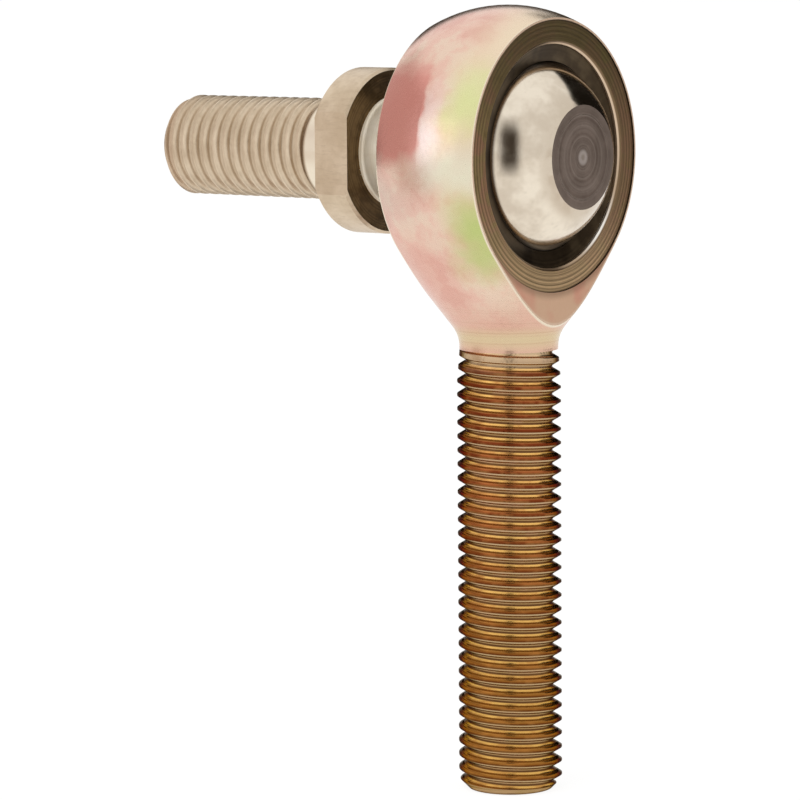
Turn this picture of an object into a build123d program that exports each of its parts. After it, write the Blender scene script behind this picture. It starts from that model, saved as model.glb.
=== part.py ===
from build123d import *
import math
import os

# Rod end bearing with a threaded shank and a ball stud standing square to it.
# Origin: centre of the ball. The shank runs down -Z, the stud leaves along -Y,
# and the front of the bearing, where the stud's end shows in the ball, is +Y.

# Driving dimensions, mm
inch = 25.4
ball_d = 5 / 8 * inch
ball_width = 13.84
pilot_d = 1 / 4 * inch
head_d = 22.44
head_width = 8.90
spot_face_d = 20.30
spot_face_depth = 0.10
bore_d = 16.70
bore_bevel = 0.22
bore_groove_d = 18.00
bore_groove_width = 6.40
lip_half_width = 3.65
liner_half_width = 3.95
neck_d = 7.46
neck_slope_deg = 52.4
neck_fillet = 2.50
shank_length = 48.20
thread_d = 7.86
thread_pitch = inch / 24
shank_thread_length = 33.60
shank_run_out = 2.40
stud_neck_d = 7.92
collar_d = 12.74
collar_across_flats = 11.10
collar_thickness = 3.15
collar_offset = 11.05
stud_reach = 11 / 16 * inch
stud_plain_length = 2.70
stud_plain_d = 7.70
stud_run_out = 1.00
collar_edge_break = 0.20
collar_fillet = 0.40

# Clearances between pieces that turn on one another, on the radius
liner_clearance = 0.03
ball_clearance = 0.03
pilot_clearance = 0.02
shoulder_gap = 0.04

# Thread form: 60 degree flanks, crest and root flats of an eighth of the pitch
thread_depth = 0.6134 * thread_pitch
thread_flat = thread_pitch / 8
end_chamfer = 0.75
crest_slack = 0.05
root_sink = 0.10
join_overlap = 0.30
shank_thread_lead_in = 0.70
stud_thread_lead_in = 0.60
same_radius = 0.01

# Cutting blocks reach this far, past the whole part
cut_reach = 120.0

# Worked out from the driving dimensions
ball_r = ball_d / 2
pilot_r = pilot_d / 2
head_r = head_d / 2
face_y = head_width / 2 - spot_face_depth
bore_r = bore_d / 2
bore_groove_r = bore_groove_d / 2
crest_r = thread_d / 2
root_r = crest_r - thread_depth
neck_r = neck_d / 2
collar_back_y = -(collar_offset + collar_thickness)
stud_end_y = collar_back_y - stud_reach


def threaded_rod(length, lead_in, top_radius, run_out, left_hand):
    """A threaded rod standing on the XY plane. Its foot is chamfered to the root.

    The thread starts lead_in below the foot. Its crests fade down to top_radius over the
    run_out that ends at the length, and the rod goes on past that by its overlap, to be
    joined with what it stands under.
    """
    half_foot = thread_pitch / 2 - thread_flat / 2
    sunk = root_sink * (half_foot - thread_flat / 2) / thread_depth
    fade = run_out * (1 + crest_slack / (crest_r - top_radius))
    with BuildPart() as rod:
        Cylinder(root_r, length + join_overlap, align=(Align.CENTER, Align.CENTER, Align.MIN))
        with BuildLine() as coil:
            Helix(
                pitch=thread_pitch,
                height=lead_in + length + join_overlap,
                radius=root_r,
                center=(0, 0, -lead_in),
                lefthand=left_hand,
            )
        with BuildSketch(Plane(origin=coil.line @ 0, x_dir=(1, 0, 0), z_dir=coil.line % 0)):
            with BuildLine():
                Polyline(
                    (-root_sink, -half_foot - sunk),
                    (thread_depth, -thread_flat / 2),
                    (thread_depth, thread_flat / 2),
                    (-root_sink, half_foot + sunk),
                    close=True,
                )
            make_face()
        sweep(path=coil.line, is_frenet=True)
        with BuildSketch(Plane.XZ):
            with BuildLine():
                Polyline(
                    (0, 0),
                    (crest_r - end_chamfer, 0),
                    (crest_r + crest_slack, end_chamfer + crest_slack),
                    (crest_r + crest_slack, length - fade),
                    (top_radius, length),
                    (top_radius - join_overlap, length + join_overlap),
                    (0, length + join_overlap),
                    close=True,
                )
            make_face()
        revolve(axis=Axis.Z, mode=Mode.INTERSECT)
    return rod.part


# Head: a ball-shaped eye that runs down a cone into the neck of the shank
shank_thread = threaded_rod(
    shank_thread_length, shank_thread_lead_in, neck_r, shank_run_out, left_hand=True
)
neck_end_z = -(shank_length - shank_thread_length)
cone_top_angle = 90 - neck_slope_deg
cone_top = (head_r * math.cos(math.radians(cone_top_angle)), -head_r * math.sin(math.radians(cone_top_angle)))
cone_foot = (neck_r, cone_top[1] - (cone_top[0] - neck_r) * math.tan(math.radians(neck_slope_deg)))

with BuildPart() as housing:
    with BuildSketch(Plane.XZ):
        with BuildLine():
            ThreePointArc((0, head_r), (head_r, 0), cone_top)
            FilletPolyline(cone_top, cone_foot, (neck_r, neck_end_z), radius=neck_fillet)
            Polyline(
                (neck_r, neck_end_z),
                (0, neck_end_z),
                (0, head_r),
            )
        make_face()
    revolve(axis=Axis.Z)
    # Two flats across the eye, each spot-faced round the bore
    Box(cut_reach, head_width, cut_reach, mode=Mode.INTERSECT)
    for side in (1, -1):
        with BuildSketch(Plane.XZ.offset(-side * face_y)):
            Circle(spot_face_d / 2)
        extrude(amount=-side * cut_reach, mode=Mode.SUBTRACT)
    # Bore with a bevelled rim at both faces and a shallow groove that keys the liner
    with BuildSketch(Plane.XY):
        with BuildLine():
            Polyline(
                (bore_r, bore_groove_width / 2),
                (bore_r, face_y - bore_bevel),
                (bore_r + 2 * bore_bevel, face_y + bore_bevel),
                (0, face_y + bore_bevel),
                (0, -face_y - bore_bevel),
                (bore_r + 2 * bore_bevel, -face_y - bore_bevel),
                (bore_r, -face_y + bore_bevel),
                (bore_r, -bore_groove_width / 2),
            )
            ThreePointArc(
                (bore_r, -bore_groove_width / 2), (bore_groove_r, 0), (bore_r, bore_groove_width / 2)
            )
        make_face()
    revolve(axis=Axis.Y, mode=Mode.SUBTRACT)
    add(shank_thread.moved(Location((0, 0, -shank_length))))
housing.part.label = "housing"

# Race liner: fills the space between the bore and the ball
liner_r = bore_r - liner_clearance
seat_r = ball_r + ball_clearance
lip_r = math.sqrt(seat_r**2 - lip_half_width**2)

with BuildPart() as race_liner:
    with BuildSketch(Plane.XY):
        with BuildLine():
            Polyline(
                (liner_r, -bore_groove_width / 2), (liner_r, -liner_half_width), (lip_r, -lip_half_width)
            )
            ThreePointArc((lip_r, -lip_half_width), (seat_r, 0), (lip_r, lip_half_width))
            Polyline(
                (lip_r, lip_half_width), (liner_r, liner_half_width), (liner_r, bore_groove_width / 2)
            )
            ThreePointArc(
                (liner_r, bore_groove_width / 2),
                (bore_groove_r - liner_clearance, 0),
                (liner_r, -bore_groove_width / 2),
            )
        make_face()
    revolve(axis=Axis.Y)
race_liner.part.label = "race_liner"

# Ball: flats at both ends and a straight hole for the stud's pilot
with BuildPart() as ball:
    Sphere(ball_r)
    Box(cut_reach, ball_width, cut_reach, mode=Mode.INTERSECT)
    with Locations(Plane.XZ):
        Hole(pilot_r, depth=cut_reach)
ball.part.label = "ball"

# Stud: pilot through the ball, neck, collar with two wrench flats, plain stretch and thread
stud_thread_length = stud_reach - stud_plain_length
stud_thread = threaded_rod(
    stud_thread_length, stud_thread_lead_in, stud_plain_d / 2, stud_run_out, left_hand=False
)
shoulder_y = -(ball_width / 2 + shoulder_gap)
stud_pilot_r = pilot_r - pilot_clearance

with BuildPart() as stud:
    with BuildSketch(Plane.XY):
        with BuildLine():
            Polyline(
                (0, ball_width / 2),
                (stud_pilot_r, ball_width / 2),
                (stud_pilot_r, shoulder_y),
                (stud_neck_d / 2, shoulder_y),
                (stud_neck_d / 2, -collar_offset),
                (collar_d / 2, -collar_offset),
                (collar_d / 2, collar_back_y),
                (stud_plain_d / 2, collar_back_y),
                (stud_plain_d / 2, collar_back_y - stud_plain_length),
                (0, collar_back_y - stud_plain_length),
                close=True,
            )
        make_face()
    revolve(axis=Axis.Y)
    Box(collar_across_flats, cut_reach, cut_reach, mode=Mode.INTERSECT)
    collar_rims = stud.edges().filter_by(GeomType.CIRCLE)
    collar_rims = collar_rims.filter_by(lambda edge: abs(edge.radius - collar_d / 2) < same_radius)
    chamfer(collar_rims, collar_edge_break)
    neck_root = stud.edges().filter_by(GeomType.CIRCLE)
    neck_root = neck_root.filter_by(lambda edge: abs(edge.radius - stud_neck_d / 2) < same_radius)
    fillet(neck_root.sort_by(Axis.Y)[0], collar_fillet)
    add(stud_thread.moved(Location((0, stud_end_y, 0), (-90, 0, 0))))
stud.part.label = "stud"

os.makedirs("parts", exist_ok=True)
export_step(housing.part, "parts/housing.step")
export_step(race_liner.part, "parts/race_liner.step")
export_step(ball.part, "parts/ball.step")
export_step(stud.part, "parts/stud.step")
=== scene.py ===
import math

import bpy
from mathutils import Matrix, Vector


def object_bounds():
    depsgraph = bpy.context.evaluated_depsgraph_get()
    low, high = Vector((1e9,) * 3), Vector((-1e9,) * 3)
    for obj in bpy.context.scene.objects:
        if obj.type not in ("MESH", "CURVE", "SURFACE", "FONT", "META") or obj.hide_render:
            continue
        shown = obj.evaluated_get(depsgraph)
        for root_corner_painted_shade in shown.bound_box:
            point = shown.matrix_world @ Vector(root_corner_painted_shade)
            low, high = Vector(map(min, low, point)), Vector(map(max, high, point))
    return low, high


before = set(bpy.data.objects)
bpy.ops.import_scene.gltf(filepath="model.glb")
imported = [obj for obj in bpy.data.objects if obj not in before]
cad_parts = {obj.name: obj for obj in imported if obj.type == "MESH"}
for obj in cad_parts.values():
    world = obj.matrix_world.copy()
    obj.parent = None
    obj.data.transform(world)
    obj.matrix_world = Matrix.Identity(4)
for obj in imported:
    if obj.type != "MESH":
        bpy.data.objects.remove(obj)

cad_low, cad_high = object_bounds()

MM = 0.001

# Sizes of the CAD part that the finishes follow, mm. Every length inside a material is in mm too.
HEAD_R = 11.22
FACE_Y = 4.35
RIM_R = 8.57
SPOT_FACE_R = 10.15
CONE_TOP_R = 8.889
CONE_TOP_Z = -6.846
CONE_SLOPE = 1.2985
BALL_FLAT_Y = 6.92
THREAD_TOP_Z = -14.6
SHANK_END_Z = -48.2
CREST_R = 3.93
ROOT_R = 3.28
COLLAR_FRONT_Y = -11.05
COLLAR_BACK_Y = -14.2
STUD_THREAD_Y = -16.9
STUD_END_Y = -31.7
BALL_LIP_Y = 3.72  # where the liner's lip covers the ball at rest


# ---------------------------------------------------------------- node helpers


class Graph:
    """Builds one material's node tree. Sockets go in and come out of each method."""

    def __init__(self, name):
        self.material = bpy.data.materials.new(name)
        self.material.use_nodes = True
        self.nodes = self.material.node_tree.nodes
        self.links = self.material.node_tree.links
        self.shader = self.nodes["Principled BSDF"]
        place = self.nodes.new("ShaderNodeTexCoord").outputs["Object"]
        self.place = self.vector("SCALE", place, scale=1 / MM)
        split = self.nodes.new("ShaderNodeSeparateXYZ")
        self.links.new(self.place, split.inputs[0])
        self.x, self.y, self.z = split.outputs

    def plug(self, value, socket):
        if isinstance(value, bpy.types.NodeSocket):
            self.links.new(value, socket)
        else:
            socket.default_value = value

    def math(self, operation, *values):
        node = self.nodes.new("ShaderNodeMath")
        node.operation = operation
        for value, socket in zip(values, node.inputs):
            self.plug(value, socket)
        return node.outputs[0]

    def vector(self, operation, *values, scale=None):
        node = self.nodes.new("ShaderNodeVectorMath")
        node.operation = operation
        for value, socket in zip(values, node.inputs):
            self.plug(value, socket)
        if scale is not None:
            self.plug(scale, node.inputs["Scale"])
        return node.outputs["Value" if operation == "LENGTH" else "Vector"]

    def combine(self, x, y, z):
        node = self.nodes.new("ShaderNodeCombineXYZ")
        for value, socket in zip((x, y, z), node.inputs):
            self.plug(value, socket)
        return node.outputs[0]

    def radius(self, a, b):
        """Distance from the axis that both coordinates are square to."""
        return self.vector("LENGTH", self.combine(a, b, 0.0))

    def noise(self, at, scale, detail=2.0, roughness=0.5, seed=0.0):
        node = self.nodes.new("ShaderNodeTexNoise")
        self.plug(self.vector("ADD", at, (seed, seed * 1.7, seed * 2.3)), node.inputs["Vector"])
        node.inputs["Scale"].default_value = scale
        node.inputs["Detail"].default_value = detail
        node.inputs["Roughness"].default_value = roughness
        return node.outputs["Fac"]

    def rings(self, value, scale, detail=3.0, roughness=0.5):
        """Noise that changes only with the value, as lines that a lathe's tool leaves."""
        return self.noise(self.combine(self.times(value, scale), 0.0, 0.0), 1.0, detail, roughness)

    def ramp(self, value, stops):
        node = self.nodes.new("ShaderNodeValToRGB")
        band = node.color_ramp
        band.interpolation = "EASE"
        while len(band.elements) < len(stops):
            band.elements.new(0.5)
        for element, (position, colour) in zip(band.elements, stops):
            element.position = position
            element.color = (*colour, 1.0)
        self.plug(value, node.inputs["Fac"])
        return node.outputs["Color"]

    def step(self, value, low, high, at_low=0.0, at_high=1.0):
        """A smooth climb from at_low to at_high as the value goes from low to high."""
        node = self.nodes.new("ShaderNodeMapRange")
        node.interpolation_type = "SMOOTHSTEP"
        self.plug(value, node.inputs["Value"])
        node.inputs["From Min"].default_value = low
        node.inputs["From Max"].default_value = high
        node.inputs["To Min"].default_value = at_low
        node.inputs["To Max"].default_value = at_high
        return node.outputs[0]

    def mix(self, share, first, second):
        node = self.nodes.new("ShaderNodeMix")
        node.data_type = "RGBA"
        self.plug(share, node.inputs[0])
        for value, socket in ((first, node.inputs[6]), (second, node.inputs[7])):
            if isinstance(value, tuple) and len(value) == 3:
                value = (*value, 1.0)
            self.plug(value, socket)
        return node.outputs[2]

    def lobe(self, value, centre, reach):
        """1 where the value is at the centre, down to 0 where it is the reach away."""
        away = self.math("ABSOLUTE", self.math("SUBTRACT", value, centre))
        return self.step(away, 0.0, reach, 1.0, 0.0)

    def times(self, first, second):
        return self.math("MULTIPLY", first, second)

    def turned_away(self, start, full):
        """0 where the surface faces the viewer, up to 1 where it turns away past `full`."""
        node = self.nodes.new("ShaderNodeLayerWeight")
        node.inputs["Blend"].default_value = 0.5
        return self.step(node.outputs["Facing"], start, full)

    def bump(self, height, depth_mm, strength=1.0, below=None):
        node = self.nodes.new("ShaderNodeBump")
        node.inputs["Strength"].default_value = strength
        node.inputs["Distance"].default_value = depth_mm * MM
        self.plug(height, node.inputs["Height"])
        if below is not None:
            self.links.new(below, node.inputs["Normal"])
        return node.outputs["Normal"]

    def rolled(self, r, share):
        """Height in mm that rounds a thread's crest and root, as rolling leaves them.

        The flanks lean 60 degrees from the radius, so a height that falls 2 mm for each mm
        of radius turns them square to it.
        """
        reach = 0.27
        fall = share * reach * 8 / 3
        at_crest = self.step(r, CREST_R - reach, CREST_R + reach, 0.0, -fall)
        at_root = self.step(r, ROOT_R - reach, ROOT_R + reach, 0.0, -fall)
        return self.math("ADD", at_crest, at_root)

    def finish(self, colour, roughness, metallic, normal=None):
        self.plug(colour, self.shader.inputs["Base Color"])
        self.plug(roughness, self.shader.inputs["Roughness"])
        self.shader.inputs["Metallic"].default_value = metallic
        if normal is not None:
            self.links.new(normal, self.shader.inputs["Normal"])
        return self.material


# ------------------------------------------------------------------- materials


def chromate_skin():
    """Yellow zinc chromate on the turned head: cream and pink, with rose, green and yellow clouds, a
    painted highlight near the middle and painted shade along the upper outline.
    """
    g = Graph("chromate_skin")
    sway = g.math("MULTIPLY_ADD", g.noise(g.place, 0.22, 3.0, 0.6, seed=3.0), 3.2, -1.6)
    y = g.math("ADD", g.y, sway)
    z = g.math("ADD", g.z, g.times(sway, 1.4))
    cloud = g.noise(g.place, 0.30, 4.0, 0.62, seed=11.0)
    colour = g.ramp(
        cloud, ((0.34, (0.74, 0.42, 0.34)), (0.48, (0.80, 0.52, 0.42)), (0.60, (0.81, 0.61, 0.48)))
    )
    cream = g.times(g.step(y, 0.5, 4.0), g.step(g.z, 1.0, 9.0, 0.3, 0.9))
    colour = g.mix(cream, colour, (0.84, 0.69, 0.50))
    upper = g.times(g.step(y, 0.6, 3.2), g.lobe(z, 4.0, 4.4))
    lower = g.times(g.step(y, 0.2, 3.6), g.lobe(z, -5.6, 5.0))
    colour = g.mix(g.times(upper, 0.85), colour, (0.70, 0.74, 0.34))
    colour = g.mix(g.times(lower, 0.95), colour, (0.50, 0.58, 0.20))
    mint = g.times(g.step(y, -1.5, 1.5), g.lobe(z, -0.6, 3.0))
    colour = g.mix(g.times(mint, 0.6), colour, (0.72, 0.76, 0.58))
    # Painted highlight: a pinkish-white patch about the head's mid-plane, a little over the centre.
    painted_highlight = g.times(g.lobe(y, 0.4, 2.0), g.lobe(z, 1.8, 4.5))
    colour = g.mix(g.times(painted_highlight, 0.9), colour, (0.92, 0.76, 0.72))
    lilac = g.times(g.lobe(z, -2.6, 3.6), g.step(y, -4.4, 2.4, 1.0, 0.0))
    colour = g.mix(g.times(lilac, 0.55), colour, (0.56, 0.44, 0.37))
    blush = g.times(g.lobe(z, -8.2, 4.0), g.step(y, -4.0, 2.5, 1.0, 0.0))
    colour = g.mix(g.times(blush, 0.85), colour, (0.72, 0.37, 0.29))
    wave = g.math("MULTIPLY_ADD", g.noise(g.place, 0.55, 2.0, 0.5, seed=6.0), 1.6, -0.8)
    rose = g.times(
        g.step(g.math("ADD", g.y, wave), -0.6, 0.4, 1.0, 0.0),
        g.lobe(g.math("ADD", g.z, wave), 3.4, 4.9),
    )
    colour = g.mix(g.math("MINIMUM", g.times(rose, 2.2), 0.92), colour, (0.70, 0.30, 0.25))
    neck = g.step(g.z, -13.2, -9.4, 1.0, 0.0)
    colour = g.mix(g.times(neck, 0.8), colour, (0.71, 0.40, 0.30))
    band = g.lobe(g.z, -13.6, 1.3)
    colour = g.mix(g.times(band, 0.65), colour, (0.68, 0.60, 0.34))
    lines = g.rings(g.z, 5.0, 3.0, 0.7)
    colour = g.mix(g.times(neck, g.step(lines, 0.52, 0.62, 0.0, 0.35)), colour, (0.50, 0.30, 0.18))
    from_edge = g.math("ADD", g.math("ABSOLUTE", g.y), g.step(g.z, -8.0, 2.0, 0.05, 0.0))
    worn = g.step(from_edge, FACE_Y - 0.02, FACE_Y + 0.07)
    colour = g.mix(worn, colour, (0.84, 0.72, 0.56))
    # Painted shade: the upper head goes near black where its surface turns away from the viewer.
    painted_outline_shade = g.times(g.turned_away(0.72, 0.88), g.step(g.z, 2.0, 6.0))
    colour = g.mix(g.times(painted_outline_shade, 0.85), colour, (0.13, 0.07, 0.03))
    turned = g.noise(g.combine(g.times(g.z, 7.0), g.times(g.x, 0.1), g.times(g.y, 0.1)), 1.0, 3.0)
    grain = g.noise(g.place, 3.2, 4.0, 0.65)
    normal = g.bump(turned, 0.02, 0.16)
    normal = g.bump(grain, 0.01, 0.10, normal)
    roughness = g.step(grain, 0.3, 0.7, 0.19, 0.30)
    return g.finish(colour, roughness, 0.88, normal)


def turned_face():
    """The spot face round the bore: tool marks round the bore's axis, in a darker, browner film, with
    painted light towards the bottom and painted shade towards the top and on the -x side.
    """
    g = Graph("turned_face")
    r = g.radius(g.x, g.z)
    ring = g.rings(r, 6.0, 4.0, 0.7)
    cloud = g.noise(g.place, 0.24, 3.0, 0.6, seed=7.0)
    film = g.ramp(
        cloud,
        (
            (0.36, (0.24, 0.17, 0.06)),
            (0.46, (0.36, 0.25, 0.11)),
            (0.54, (0.42, 0.22, 0.13)),
            (0.64, (0.34, 0.28, 0.09)),
        ),
    )
    # Painted light: the face turns a paler tan towards the bottom.
    below = g.step(g.z, -9.5, -2.0, 1.0, 0.0)
    film = g.mix(g.times(below, 0.8), film, (0.66, 0.44, 0.24))
    # Painted shade, in a red-brown tint, on the -x side, the camera's right.
    ruddy_painted_shade = g.step(g.x, -9.6, -5.0, 0.75, 0.0)
    film = g.mix(ruddy_painted_shade, film, (0.31, 0.17, 0.09))
    # Painted shade: darker towards the top.
    above = g.step(g.z, 1.0, 9.0)
    film = g.mix(g.times(above, 0.75), film, (0.13, 0.095, 0.035))
    colour = g.mix(g.step(ring, 0.42, 0.58, 0.0, 0.7), film, (0.10, 0.07, 0.03))
    edge = g.step(r, SPOT_FACE_R - 0.16, SPOT_FACE_R - 0.02)
    colour = g.mix(g.times(edge, 0.8), colour, (0.05, 0.035, 0.02))
    normal = g.bump(ring, 0.05, 0.45)
    return g.finish(colour, g.step(ring, 0.3, 0.7, 0.28, 0.42), 0.88, normal)


def outer_flat():
    """What the spot face leaves of the forged flat: rose and tan, with a bright worn edge."""
    g = Graph("outer_flat")
    cloud = g.noise(g.place, 0.35, 2.0, 0.5, seed=13.0)
    colour = g.mix(g.step(cloud, 0.38, 0.62), (0.72, 0.36, 0.25), (0.74, 0.48, 0.32))
    under_face = g.step(g.radius(g.x, g.z), SPOT_FACE_R, SPOT_FACE_R + 0.7, 0.55, 0.0)
    colour = g.mix(under_face, colour, (0.24, 0.13, 0.07))
    on_cone_part = g.step(g.z, CONE_TOP_Z, CONE_TOP_Z + 0.1, 1.0, 0.0)
    on_ball_part = g.step(g.z, CONE_TOP_Z, CONE_TOP_Z + 0.1)
    past_cone = g.math("SUBTRACT", g.radius(g.x, g.y), CONE_TOP_R - CONE_TOP_Z / CONE_SLOPE)
    past_cone = g.math("SUBTRACT", past_cone, g.math("DIVIDE", g.z, CONE_SLOPE))
    cone_edge = g.times(g.step(past_cone, -0.20, -0.08), on_cone_part)
    from_ball = g.vector("LENGTH", g.place)
    ball_edge = g.times(g.step(from_ball, HEAD_R - 0.20, HEAD_R - 0.10), on_ball_part)
    edge = g.math("MAXIMUM", ball_edge, cone_edge)
    colour = g.mix(edge, colour, (0.82, 0.60, 0.44))
    grain = g.noise(g.place, 4.0, 3.0, 0.6)
    return g.finish(colour, g.step(grain, 0.3, 0.7, 0.38, 0.50), 0.62, g.bump(grain, 0.012, 0.35))


def bevel_painted_highlight():
    """The bore's bevel: a tan to cream painted highlight where it meets the bore, darker low down as
    painted shade, a near-white painted highlight low on one side, and dark brown at its outer edge.
    """
    g = Graph("bevel_painted_highlight")
    r = g.radius(g.x, g.z)
    ring = g.noise(g.combine(g.times(r, 14.0), g.y, 0.0), 1.0, 3.0)
    # Painted highlight: the bevel's tan to cream.
    bright = g.mix(g.step(ring, 0.3, 0.7), (0.62, 0.45, 0.31), (0.78, 0.62, 0.45))
    # Painted shade: the bevel darkens towards the bottom.
    below = g.step(g.z, -6.0, 2.0, 1.0, 0.0)
    bright = g.mix(g.times(below, 0.6), bright, (0.30, 0.20, 0.11))
    # Painted highlight: near white, low down on the -x side.
    painted_glint = g.times(g.lobe(g.z, -6.2, 3.6), g.step(g.x, -6.0, -2.4, 1.0, 0.0))
    bright = g.mix(painted_glint, bright, (0.92, 0.88, 0.82))
    colour = g.mix(g.step(r, RIM_R - 0.14, RIM_R - 0.08), bright, (0.20, 0.13, 0.07))
    return g.finish(colour, g.step(ring, 0.3, 0.7, 0.26, 0.38), 0.85, g.bump(ring, 0.01, 0.4))


def chromate_thread(name, at_root, at_crest, fleck, low, share, tips):
    """One flank, or the crest, of the shank's thread: a golden to red-brown film in lit and shaded
    copies by which way the facets face, so partly painted highlight and painted shade.

    fleck shows in clouds, by the share given, and low towards the shank's end. As painted shade, the
    colour goes near black as the surface turns away from the viewer, between the two amounts in tips,
    and darkens at the foot of the flanks.
    """
    g = Graph(name)
    r = g.radius(g.x, g.y)
    height = g.step(r, ROOT_R + 0.04, CREST_R - 0.06)
    drift = g.math("MULTIPLY_ADD", g.noise(g.place, 0.16, 2.0, 0.5, seed=5.0), 0.8, -0.4)
    cloud = g.math("ADD", g.noise(g.place, 0.62, 3.0, 0.62, seed=8.0), drift)
    film = g.mix(height, at_root, at_crest)
    film = g.mix(g.step(cloud, 0.42, 0.66, 0.0, share), film, fleck)
    lower = g.step(g.z, SHANK_END_Z + 6.0, THREAD_TOP_Z - 8.0, 1.0, 0.0)
    film = g.mix(g.times(lower, 0.38), film, low)
    # Painted shade along the foot of each flank, at the thread's root.
    root_corner_painted_shade = g.step(r, ROOT_R, ROOT_R + 0.07, 1.0, 0.0)
    colour = g.mix(g.times(root_corner_painted_shade, 0.6), film, (0.10, 0.045, 0.02))
    first_turn = g.step(g.z, THREAD_TOP_Z - 1.7, THREAD_TOP_Z - 0.2, 0.0, 0.8)
    colour = g.mix(first_turn, colour, (0.70, 0.52, 0.33))
    # Painted shade along the outline, where the surface turns away from the viewer.
    colour = g.mix(g.times(g.turned_away(*tips), 0.92), colour, (0.045, 0.034, 0.014))
    grain = g.noise(g.place, 5.0, 3.0, 0.6)
    normal = g.bump(g.rolled(r, 0.95), 1.0)
    normal = g.bump(grain, 0.01, 0.12, normal)
    g.shader.inputs["Specular Tint"].default_value = (0.35, 0.26, 0.18, 1.0)
    return g.finish(colour, g.step(grain, 0.3, 0.7, 0.18, 0.28), 0.94, normal)


def liner_finish():
    """The dark moulded liner, turned round the bore's axis."""
    g = Graph("liner_finish")
    ring = g.rings(g.radius(g.x, g.z), 7.0)
    cloud = g.noise(g.place, 0.6, 2.0)
    colour = g.mix(g.step(cloud, 0.35, 0.65), (0.045, 0.030, 0.017), (0.085, 0.060, 0.034))
    return g.finish(colour, g.step(ring, 0.3, 0.7, 0.30, 0.44), 1.0, g.bump(ring, 0.02, 0.4))


def polished_ball():
    """The polished ball: faint smears, dust by the flats and a dark painted shade line under the
    liner's lip.
    """
    g = Graph("polished_ball")
    smear = g.noise(g.place, 0.35, 3.0, 0.6, seed=2.0)
    speck = g.noise(g.place, 3.0, 5.0, 0.75, seed=1.0)
    colour = g.mix(g.step(smear, 0.35, 0.65), (0.62, 0.53, 0.42), (0.82, 0.73, 0.60))
    colour = g.mix(g.step(speck, 0.56, 0.70, 0.0, 0.25), colour, (0.52, 0.44, 0.34))
    depth = g.math("ABSOLUTE", g.y)
    by_flat = g.step(depth, BALL_FLAT_Y - 0.82, BALL_FLAT_Y - 0.12)
    dust = g.times(by_flat, g.step(smear, 0.42, 0.62, 0.1, 0.55))
    colour = g.mix(dust, colour, (0.36, 0.26, 0.17))
    # Painted shade: a dark band on the ball just under the liner's lip.
    painted_lip_shade = g.step(depth, BALL_LIP_Y, BALL_LIP_Y + 0.28, 1.0, 0.0)
    colour = g.mix(g.times(painted_lip_shade, 0.9), colour, (0.06, 0.042, 0.028))
    polish = g.noise(g.combine(g.times(g.y, 6.0), g.x, g.z), 1.0, 3.0)
    normal = g.bump(polish, 0.004, 0.3)
    normal = g.bump(speck, 0.006, 0.25, normal)
    return g.finish(colour, g.step(smear, 0.3, 0.7, 0.10, 0.17), 1.0, normal)


def faced_end():
    """The flats on the ball and the stud's flush end: rings from facing, and a turning centre's pip."""
    g = Graph("faced_end")
    r = g.radius(g.x, g.z)
    ring = g.rings(r, 3.6, 4.0, 0.6)
    cloud = g.noise(g.place, 0.5, 3.0, 0.6, seed=9.0)
    colour = g.mix(g.step(cloud, 0.35, 0.65), (0.165, 0.118, 0.092), (0.24, 0.178, 0.145))
    colour = g.mix(g.step(ring, 0.4, 0.62, 0.0, 0.30), colour, (0.44, 0.37, 0.32))
    colour = g.mix(g.step(r, 3.2, 3.9, 0.0, 0.45), colour, (0.20, 0.15, 0.12))
    halo = g.step(r, 0.35, 0.75, 1.0, 0.0)
    colour = g.mix(g.times(halo, 0.6), colour, (0.66, 0.58, 0.54))
    pip = g.step(r, 0.12, 0.30, 1.0, 0.0)
    colour = g.mix(pip, colour, (0.40, 0.33, 0.28))
    normal = g.bump(ring, 0.03, 0.5)
    normal = g.bump(pip, 0.06, -0.6, normal)
    return g.finish(colour, g.step(ring, 0.3, 0.7, 0.34, 0.46), 0.85, normal)


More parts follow.
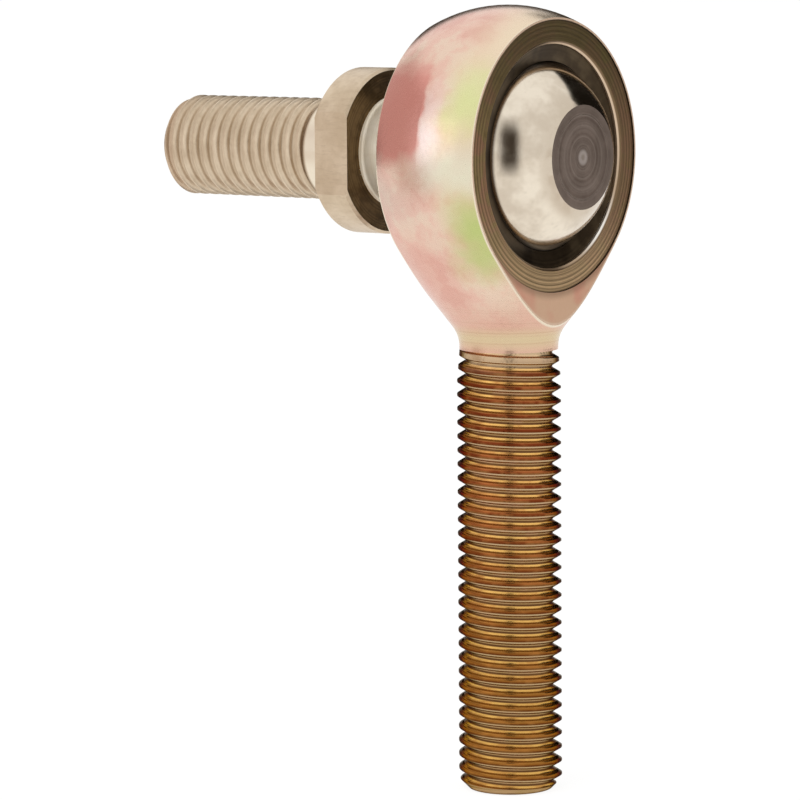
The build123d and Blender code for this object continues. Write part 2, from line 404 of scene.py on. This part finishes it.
def satin_nickel():
    """The stud's satin plating: a milled collar, a plain stretch painted pale as a highlight and a
    rolled thread with painted shade in its roots.
    """
    g = Graph("satin_nickel")
    r = g.radius(g.x, g.z)
    cloud = g.noise(g.place, 0.5, 3.0, 0.6, seed=4.0)
    colour = g.mix(g.step(cloud, 0.35, 0.65), (0.62, 0.49, 0.345), (0.72, 0.585, 0.43))
    threaded = g.step(g.y, STUD_THREAD_Y - 0.1, STUD_THREAD_Y + 0.1, 1.0, 0.0)
    # Painted shade: darker in the thread's roots.
    root_painted_shade = g.times(threaded, g.step(r, ROOT_R, CREST_R, 1.0, 0.0))
    colour = g.mix(g.times(root_painted_shade, 0.5), colour, (0.44, 0.32, 0.21))
    # Painted highlight: the plain stretch between the thread and the collar turns pale cream.
    plain = g.times(
        g.step(g.y, STUD_THREAD_Y, STUD_THREAD_Y + 0.3),
        g.step(g.y, COLLAR_BACK_Y - 0.2, COLLAR_BACK_Y, 1.0, 0.0),
    )
    colour = g.mix(plain, colour, (0.88, 0.78, 0.63))
    colour = g.mix(g.lobe(g.y, STUD_THREAD_Y, 0.35), colour, (0.36, 0.25, 0.15))
    tip = g.step(g.y, STUD_END_Y, STUD_END_Y + 2.3, 1.0, 0.0)
    colour = g.mix(g.times(tip, 0.45), colour, (0.52, 0.34, 0.23))
    collar = g.times(
        g.step(g.y, COLLAR_BACK_Y - 0.1, COLLAR_BACK_Y),
        g.step(g.y, COLLAR_FRONT_Y + 0.05, COLLAR_FRONT_Y + 0.15, 1.0, 0.0),
    )
    milled = g.noise(g.combine(g.times(g.y, 0.8), g.x, g.times(g.z, 4.0)), 1.0, 3.0, 0.7)
    colour = g.mix(g.times(collar, g.step(milled, 0.48, 0.68, 0.0, 0.35)), colour, (0.50, 0.38, 0.26))
    grain = g.noise(g.place, 4.0, 4.0, 0.65)
    normal = g.bump(g.times(threaded, g.rolled(r, 0.55)), 1.0)
    normal = g.bump(grain, 0.015, 0.3, normal)
    normal = g.bump(g.times(collar, milled), 0.02, 0.35, normal)
    return g.finish(colour, g.step(grain, 0.3, 0.7, 0.32, 0.46), 0.92, normal)


def neck_painted_highlight():
    """The stud's plain neck, turned round its axis: a pale, part-metal lit copy of the plating, a
    painted highlight.
    """
    g = Graph("neck_painted_highlight")
    lines = g.noise(g.combine(0.0, g.times(g.y, 6.0), 0.0), 1.0, 3.0, 0.6)
    cloud = g.noise(g.place, 0.6, 3.0, 0.6, seed=15.0)
    colour = g.mix(g.step(cloud, 0.35, 0.65), (0.90, 0.80, 0.64), (0.96, 0.88, 0.74))
    colour = g.mix(g.step(lines, 0.5, 0.66, 0.0, 0.3), colour, (0.66, 0.54, 0.38))
    return g.finish(colour, g.step(lines, 0.3, 0.7, 0.30, 0.42), 0.35, g.bump(lines, 0.01, 0.3))


def shoulder_painted_shade():
    """The collar's face on the ball's side: dark brown painted shade, with turning rings."""
    g = Graph("shoulder_painted_shade")
    r = g.radius(g.x, g.z)
    ring = g.rings(r, 5.0, 3.0, 0.6)
    cloud = g.noise(g.place, 0.7, 3.0, 0.6, seed=12.0)
    colour = g.mix(g.step(cloud, 0.35, 0.65), (0.10, 0.062, 0.025), (0.20, 0.13, 0.06))
    colour = g.mix(g.step(ring, 0.45, 0.65, 0.0, 0.5), colour, (0.05, 0.032, 0.015))
    return g.finish(colour, g.step(ring, 0.3, 0.7, 0.32, 0.46), 0.85, g.bump(ring, 0.03, 0.4))


# ---------------------------------------------------------- finishes to facets


def paint(node, finishes, choose):
    """Gives every facet of a CAD node the finish that choose(centre_mm, normal) names."""
    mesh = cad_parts[node].data
    mesh.materials.clear()
    for finish in finishes.values():
        mesh.materials.append(finish)
    slot = {name: number for number, name in enumerate(finishes)}
    for facet in mesh.polygons:
        facet.material_index = slot[choose(facet.center / MM, facet.normal)]


SQUARE_ON = 0.999  # a facet that faces along Y
NEAR = 0.05  # how close a facet's centre lies to the face it belongs to, mm


def housing_zone(at, normal):
    r = math.hypot(at.x, at.z)
    depth = abs(at.y)
    if at.z < THREAD_TOP_Z:
        return "upper_flank" if normal.z > 0.5 else "lower_flank" if normal.z < -0.5 else "crest"
    if depth > FACE_Y - NEAR and abs(normal.y) > SQUARE_ON:
        return "outer_flat" if depth > FACE_Y + NEAR else "turned_face"
    if abs(r - SPOT_FACE_R) < 0.02 and depth > FACE_Y - 0.02:
        return "turned_face"
    return "bevel" if r < RIM_R + 0.02 else "skin"


def ball_zone(at, normal):
    on_flat = abs(normal.y) > SQUARE_ON and abs(at.y) > BALL_FLAT_Y - NEAR
    return "faced" if on_flat else "polished"


def stud_zone(at, normal):
    faces_front = normal.y > 0.9
    if faces_front and at.y > 0:
        return "faced"
    if faces_front and abs(at.y - COLLAR_FRONT_Y) < NEAR:
        return "shoulder"
    return "neck" if COLLAR_FRONT_Y < at.y < -BALL_FLAT_Y else "nickel"


housing_finishes = {
    "skin": chromate_skin(),
    "turned_face": turned_face(),
    "outer_flat": outer_flat(),
    "bevel": bevel_painted_highlight(),
    # The three thread finishes are lit and shaded copies of one film: the upper flank's gold by the
    # root is partly painted highlight, the crest's dark red-brown partly painted shade.
    "upper_flank": chromate_thread(
        "upper_flank",
        at_root=(0.92, 0.54, 0.16),
        at_crest=(0.20, 0.035, 0.010),
        fleck=(0.46, 0.15, 0.045),
        low=(0.40, 0.22, 0.03),
        share=0.55,
        tips=(0.60, 0.80),
    ),
    "lower_flank": chromate_thread(
        "lower_flank",
        at_root=(0.36, 0.21, 0.08),
        at_crest=(0.52, 0.38, 0.22),
        fleck=(0.54, 0.32, 0.19),
        low=(0.42, 0.29, 0.12),
        share=0.5,
        tips=(0.76, 0.92),
    ),
    "crest": chromate_thread(
        "crest",
        at_root=(0.16, 0.06, 0.02),
        at_crest=(0.15, 0.032, 0.008),
        fleck=(0.33, 0.16, 0.05),
        low=(0.11, 0.055, 0.008),
        share=0.55,
        tips=(0.46, 0.74),
    ),
}
faced = faced_end()
stud_finishes = {
    "nickel": satin_nickel(),
    "faced": faced,
    "shoulder": shoulder_painted_shade(),
    "neck": neck_painted_highlight(),
}
paint("housing", housing_finishes, housing_zone)
paint("race_liner", {"liner": liner_finish()}, lambda at, normal: "liner")
paint("ball", {"polished": polished_ball(), "faced": faced}, ball_zone)
paint("stud", stud_finishes, stud_zone)

# ----------------------------------------------------------------- the camera

VIEW_YAW = math.radians(51.60)
VIEW_PITCH = math.radians(6.65)
VIEW_ROLL = math.radians(-0.43)
VIEW_DISTANCE = 297.0 * MM
AIM_RIGHT = -8.10 * MM
AIM_UP = -18.39 * MM
LENS = 178.2
SENSOR = 36.0

back = Vector(
    (
        math.sin(VIEW_YAW) * math.cos(VIEW_PITCH),
        math.cos(VIEW_YAW) * math.cos(VIEW_PITCH),
        math.sin(VIEW_PITCH),
    )
)
level_right = Vector((0, 0, 1)).cross(back).normalized()
level_up = back.cross(level_right)
right = level_right * math.cos(VIEW_ROLL) + level_up * math.sin(VIEW_ROLL)
up = level_up * math.cos(VIEW_ROLL) - level_right * math.sin(VIEW_ROLL)

camera_data = bpy.data.cameras.new("camera")
camera_data.lens = LENS
camera_data.sensor_width = SENSOR
camera_data.clip_start = 0.01
camera_data.clip_end = 20
camera = bpy.data.objects.new("camera", camera_data)
bpy.context.collection.objects.link(camera)
turn = Matrix((right, up, back)).transposed().to_4x4()
place = Matrix.Translation(back * VIEW_DISTANCE + right * AIM_RIGHT + up * AIM_UP)
camera.matrix_world = place @ turn
bpy.context.scene.camera = camera

# ----------------------------------------------------------- floor and light

FLOOR_SIZE = 6.0
FLOOR_GLOW = 0.90
FLOOR_SHADE = 0.16

floor_mesh = bpy.data.meshes.new("floor")
half = FLOOR_SIZE / 2
floor_mesh.from_pydata(
    [(-half, -half, 0), (half, -half, 0), (half, half, 0), (-half, half, 0)], [], [(0, 1, 2, 3)]
)
floor = bpy.data.objects.new("floor", floor_mesh)
floor.location.z = cad_low.z - 0.02 * MM
bpy.context.collection.objects.link(floor)


def seen_as_background(nodes, links):
    """1 for the rays that show the background itself: the camera's, and those off metal."""
    rays = nodes.new("ShaderNodeLightPath")
    either = nodes.new("ShaderNodeMath")
    either.operation = "MAXIMUM"
    links.new(rays.outputs["Is Camera Ray"], either.inputs[0])
    links.new(rays.outputs["Is Glossy Ray"], either.inputs[1])
    return either.outputs[0]


def floor_finish():
    """White with a trace of shadow to the camera and in metal, and plain pale paint to other rays."""
    material = bpy.data.materials.new("floor")
    material.use_nodes = True
    nodes, links = material.node_tree.nodes, material.node_tree.links
    paint_node = nodes["Principled BSDF"]
    paint_node.inputs["Base Color"].default_value = (0.8, 0.79, 0.77, 1)
    paint_node.inputs["Roughness"].default_value = 0.9
    shade = nodes.new("ShaderNodeBsdfDiffuse")
    shade.inputs["Color"].default_value = (FLOOR_SHADE, FLOOR_SHADE, FLOOR_SHADE, 1)
    glow = nodes.new("ShaderNodeEmission")
    glow.inputs["Color"].default_value = (1, 1, 1, 1)
    glow.inputs["Strength"].default_value = FLOOR_GLOW
    both = nodes.new("ShaderNodeAddShader")
    links.new(shade.outputs[0], both.inputs[0])
    links.new(glow.outputs[0], both.inputs[1])
    pick = nodes.new("ShaderNodeMixShader")
    links.new(seen_as_background(nodes, links), pick.inputs[0])
    links.new(paint_node.outputs[0], pick.inputs[1])
    links.new(both.outputs[0], pick.inputs[2])
    links.new(pick.outputs[0], nodes["Material Output"].inputs["Surface"])
    return material


floor_mesh.materials.append(floor_finish())


def studio_world():
    """White to the camera and in metal; a soft, slightly warm dome to the object."""
    world = bpy.data.worlds.new("studio")
    world.use_nodes = True
    nodes, links = world.node_tree.nodes, world.node_tree.links
    dome = nodes["Background"]
    dome.inputs["Color"].default_value = (1.0, 0.98, 0.95, 1)
    dome.inputs["Strength"].default_value = 0.75
    white = nodes.new("ShaderNodeBackground")
    white.inputs["Color"].default_value = (1, 1, 1, 1)
    pick = nodes.new("ShaderNodeMixShader")
    links.new(seen_as_background(nodes, links), pick.inputs[0])
    links.new(dome.outputs[0], pick.inputs[1])
    links.new(white.outputs[0], pick.inputs[2])
    links.new(pick.outputs[0], nodes["World Output"].inputs["Surface"])
    bpy.context.scene.world = world


studio_world()


def direction(toward_right, toward_up, toward_camera):
    """A unit vector given by the camera's own sides."""
    return (right * toward_right + up * toward_up + back * toward_camera).normalized()


def softbox(name, way, distance, size, glow, in_metal):
    """A square lamp of a given radiance that faces the ball."""
    data = bpy.data.lights.new(name, "AREA")
    data.shape = "SQUARE"
    data.size = size
    data.energy = glow * math.pi * size * size
    lamp = bpy.data.objects.new(name, data)
    bpy.context.collection.objects.link(lamp)
    lamp.location = way * distance
    lamp.rotation_mode = "QUATERNION"
    lamp.rotation_quaternion = (-way).to_track_quat("-Z", "Y")
    lamp.visible_glossy = in_metal


def flag(name, way, distance, width, height, shade, soft=0.25):
    """A card darker than the background, that only reflections see, as a studio sets by metal.

    way points to it from the ball's centre. Its edge is soft over the given part of each half.
    """
    mesh = bpy.data.meshes.new(name)
    w, h = width / 2, height / 2
    mesh.from_pydata([(-w, -h, 0), (w, -h, 0), (w, h, 0), (-w, h, 0)], [], [(0, 1, 2, 3)])
    card = bpy.data.objects.new(name, mesh)
    bpy.context.collection.objects.link(card)
    card.location = way * distance
    card.rotation_mode = "QUATERNION"
    card.rotation_quaternion = way.to_track_quat("Z", "Y")
    card.visible_camera = False
    card.visible_shadow = False
    card.visible_diffuse = False
    card.visible_transmission = False
    g = Graph(name)
    across = g.step(g.math("ABSOLUTE", g.math("DIVIDE", g.x, w / MM)), 1.0 - soft, 1.0, 1.0, 0.0)
    along = g.step(g.math("ABSOLUTE", g.math("DIVIDE", g.y, h / MM)), 1.0 - soft, 1.0, 1.0, 0.0)
    glow = g.nodes.new("ShaderNodeEmission")
    glow.inputs["Color"].default_value = (*shade, 1)
    clear = g.nodes.new("ShaderNodeBsdfTransparent")
    fade = g.nodes.new("ShaderNodeMixShader")
    g.links.new(g.times(across, along), fade.inputs[0])
    g.links.new(clear.outputs[0], fade.inputs[1])
    g.links.new(glow.outputs[0], fade.inputs[2])
    g.links.new(fade.outputs[0], g.nodes["Material Output"].inputs["Surface"])
    mesh.materials.append(g.material)


softbox("key", direction(-0.5, 0.8, 0.6), 0.7, 0.5, 1.3, False)
softbox("fill", direction(0.5, -0.1, 0.9), 0.8, 0.5, 0.7, False)
softbox("left_box", direction(-0.82, 0.16, 0.55), 0.7, 0.34, 0.30, True)

DARK_CARD = (0.04, 0.032, 0.022)
flag("flag_right", direction(0.97, 0.10, -0.25), 0.5, 0.36, 0.66, (0.04, 0.032, 0.025))
flag("flag_upper_right", direction(0.60, 0.42, -0.68), 0.5, 0.54, 0.48, (0.012, 0.010, 0.008), 0.15)
flag("flag_camera", direction(0.0, 0.07, 1.0), 0.12, 0.066, 0.178, (0.06, 0.048, 0.038), 0.75)
flag("flag_left", direction(-0.90, 0.28, -0.34), 0.5, 0.66, 0.50, (0.66, 0.58, 0.56), 0.10)
flag("flag_behind", direction(0.0, 0.19, -1.0), 0.5, 0.38, 0.33, DARK_CARD, 0.10)
flag("flag_left_behind", direction(-0.72, 0.05, -0.69), 0.5, 0.34, 0.20, DARK_CARD, 0.3)
flag("flag_low_left", direction(-0.93, -0.24, 0.16), 0.14, 0.10, 0.06, (0.74, 0.66, 0.61), 0.5)

bpy.context.scene.view_settings.view_transform = "Standard"
